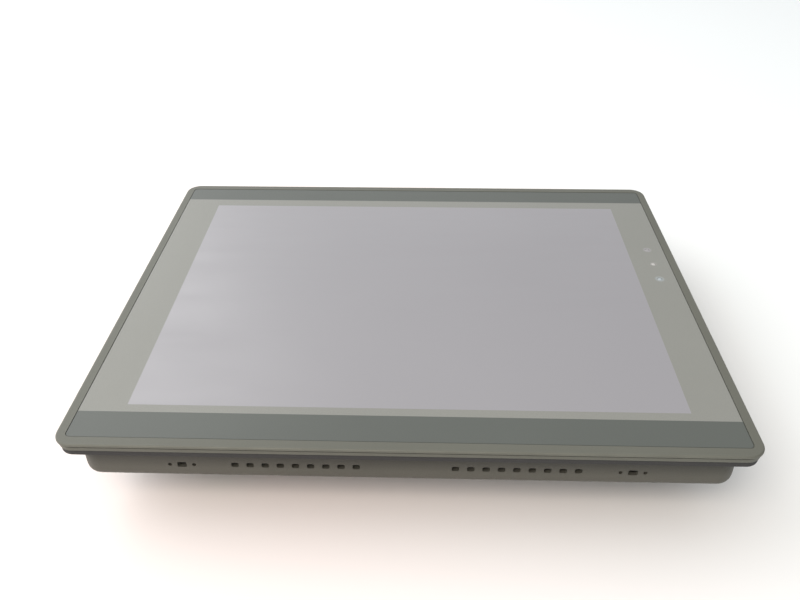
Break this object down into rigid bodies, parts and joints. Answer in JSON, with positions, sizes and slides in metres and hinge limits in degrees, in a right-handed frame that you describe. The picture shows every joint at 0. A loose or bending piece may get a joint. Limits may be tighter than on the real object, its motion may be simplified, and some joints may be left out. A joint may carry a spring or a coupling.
{
  "type": "hmi touch panel",
  "caption": "Flush-fronted operator touch panel for a cabinet door, with a stepped rear housing, clamp holes, vents, rear connectors and status lamps beside the screen.",
  "frame": {"origin": "centre of the rear resting face, under the middle of the front", "axes": "+X to the right across the screen, +Y to the top of the screen, +Z out of the screen"},
  "size_m": [0.366, 0.293, 0.056],
  "materials": {
    "bezel_coat": "moulded plastic with a fine satin grain, warm grey",
    "overlay_print": "printed polyester film, fine matt texture, warm light grey with darker bands",
    "screen_film": "anti-glare hard-coated film, pale grey",
    "clear_glass": "polished glass",
    "black_foam": "closed-cell foam rubber",
    "amber_flex": "flexible polyimide circuit",
    "clear_plastic": "clear acrylic",
    "board_laminate": "glass-epoxy board with green solder mask",
    "white_plastic": "white moulded plastic",
    "sheet_steel": "zinc-plated folded sheet",
    "dark_cell": "liquid crystal cell with polarisers",
    "plated_steel": "zinc-plated steel",
    "turned_brass": "turned and plated brass",
    "black_plastic": "black moulded plastic",
    "fin_aluminium": "bare aluminium",
    "terminal_plastic": "green glass-filled polyamide",
    "port_shell": "tin-plated steel",
    "dip_red": "red moulded plastic",
    "housing_coat": "moulded plastic with a fine texture, dark warm grey",
    "label_metal": "blank metal foil label"
  },
  "bodies": {
    "root": {"front_bezel": "bezel_coat", "front_overlay": "overlay_print", "touch_film": "screen_film", "touch_glass": "clear_glass", "touch_seal": "black_foam", "touch_tail": "amber_flex", "panel_gasket": "black_foam", "light_pipes": "clear_plastic", "indicator_board": "board_laminate", "indicator_leds": "white_plastic", "dust_seal": "black_foam", "lcd_front_frame": "sheet_steel", "lcd_cell": "dark_cell", "diffuser_sheet": "white_plastic", "light_guide": "clear_plastic", "light_bars": "white_plastic", "reflector_sheet": "white_plastic", "lcd_rear_tray": "sheet_steel", "lcd_brackets": "sheet_steel", "bracket_screws": "plated_steel", "chassis_plate": "sheet_steel", "chassis_screws": "plated_steel", "board_standoffs": "turned_brass", "main_board": "board_laminate", "board_screws": "plated_steel", "processor": "black_plastic", "heat_sink": "fin_aluminium", "memory_chips": "black_plastic", "power_inductor": "black_plastic", "board_capacitors": "fin_aluminium", "battery_holder": "black_plastic", "backup_battery": "plated_steel", "buzzer": "black_plastic", "board_headers": "white_plastic", "display_cable": "amber_flex", "power_socket": "terminal_plastic", "power_pins": "turned_brass", "serial_shell_1": "port_shell", "serial_insert_1": "black_plastic", "serial_shell_2": "port_shell", "serial_insert_2": "black_plastic", "serial_pins": "turned_brass", "jack_screws": "plated_steel", "ethernet_jack": "port_shell", "ethernet_contacts": "turned_brass", "usb_shells": "port_shell", "usb_tongues": "white_plastic", "reset_switch": "black_plastic", "dip_switch_body": "dip_red", "rear_housing": "housing_coat", "rating_plate": "label_metal", "housing_screws": "plated_steel"},
    "reset_push": {"reset_button": "white_plastic"},
    "power_plug_body": {"power_plug": "terminal_plastic", "terminal_screws": "plated_steel"},
    "dip_slider_1": {"dip_lever_1": "white_plastic"},
    "dip_slider_2": {"dip_lever_2": "white_plastic"},
    "dip_slider_3": {"dip_lever_3": "white_plastic"},
    "dip_slider_4": {"dip_lever_4": "white_plastic"}
  },
  "joints": [
    {"name": "reset_press", "type": "slide", "parent": "root", "child": "reset_push", "axis": [0, 1, 0], "range_m": [0, 0.0008], "stiffness_N_per_m": 250, "springref_m": -0.001},
    {"name": "power_plug_pull", "type": "slide", "parent": "root", "child": "power_plug_body", "axis": [0, -1, 0], "range_m": [0, 0.0105]},
    {"name": "dip_slide_1", "type": "slide", "parent": "root", "child": "dip_slider_1", "axis": [0, 0, -1], "range_m": [0, 0.0018]},
    {"name": "dip_slide_2", "type": "slide", "parent": "root", "child": "dip_slider_2", "axis": [0, 0, -1], "range_m": [0, 0.0018]},
    {"name": "dip_slide_3", "type": "slide", "parent": "root", "child": "dip_slider_3", "axis": [0, 0, -1], "range_m": [0, 0.0018]},
    {"name": "dip_slide_4", "type": "slide", "parent": "root", "child": "dip_slider_4", "axis": [0, 0, -1], "range_m": [0, 0.0018]}
  ]
}
